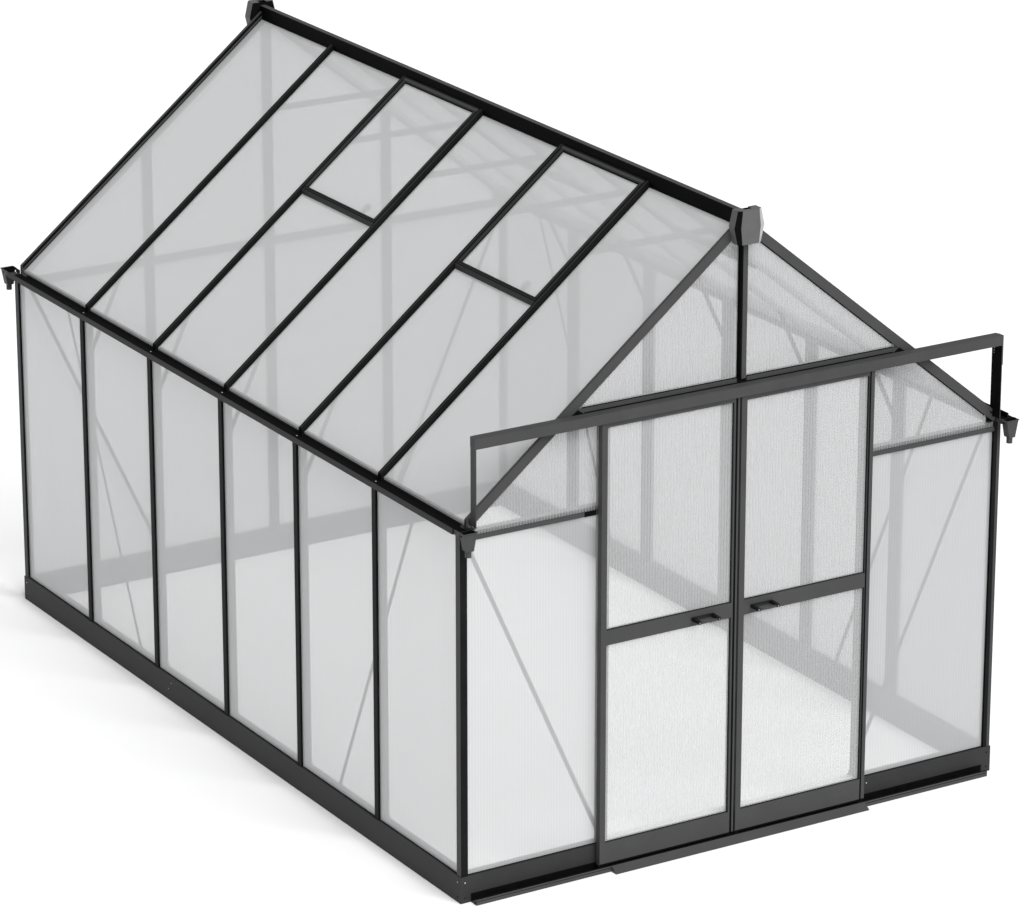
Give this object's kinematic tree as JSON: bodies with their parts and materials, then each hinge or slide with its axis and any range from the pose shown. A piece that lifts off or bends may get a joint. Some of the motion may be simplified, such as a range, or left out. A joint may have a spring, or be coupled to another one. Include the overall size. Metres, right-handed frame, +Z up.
{
  "type": "walk-in polycarbonate greenhouse",
  "caption": "Gable-roofed walk-in greenhouse: dark metal frame, twin-wall sheets, two sliding doors, eave gutters with spouts, roof vents and a steel base frame.",
  "frame": {"origin": "on the ground, in the middle of the greenhouse's overall box", "axes": "+X to the right seen from the doors, +Y from the doors to the back, +Z up"},
  "size_m": [2.5, 3.866, 2.5075],
  "materials": {
    "frame": "satin dark grey powder coat",
    "base_steel": "satin dark grey coated steel",
    "sheet": "translucent fluted twin-wall sheet",
    "plastic": "moulded black plastic"
  },
  "bodies": {
    "root": {"base_front": "base_steel", "base_back": "base_steel", "base_left": "base_steel", "base_right": "base_steel", "corner_posts": "frame", "left_posts": "frame", "right_posts": "frame", "back_posts": "frame", "door_jambs": "frame", "left_gutter": "frame", "right_gutter": "frame", "gutter_outlets": "plastic", "front_rafters": "frame", "back_rafters": "frame", "ridge_beam": "frame", "ridge_caps": "plastic", "left_roof_bars": "frame", "right_roof_bars": "frame", "collar_ties": "frame", "knee_braces": "frame", "wall_braces": "frame", "front_eave_bars": "frame", "back_eave_bars": "frame", "king_post": "frame", "door_lintel": "frame", "door_top_track": "frame", "track_brackets": "frame", "door_bottom_track": "frame", "threshold_ramp": "frame", "left_roof_panels": "sheet", "right_roof_panels": "sheet", "left_wall_panels": "sheet", "right_wall_panels": "sheet", "front_panels": "sheet", "back_panels": "sheet", "vent_crossbars": "frame", "vent_frames": "frame", "vent_panels": "sheet", "vent_knobs": "plastic"},
    "left_door": {"left_door_frame": "frame", "left_door_panels": "sheet", "left_door_handle": "plastic", "left_door_wheels": "plastic"},
    "right_door": {"right_door_frame": "frame", "right_door_panels": "sheet", "right_door_handle": "plastic", "right_door_wheels": "plastic"}
  },
  "joints": [
    {"name": "left_door_slide", "type": "slide", "parent": "root", "child": "left_door", "axis": [-1, 0, 0], "range_m": [0, 0.525]},
    {"name": "right_door_slide", "type": "slide", "parent": "root", "child": "right_door", "axis": [1, 0, 0], "range_m": [0, 0.555]}
  ]
}
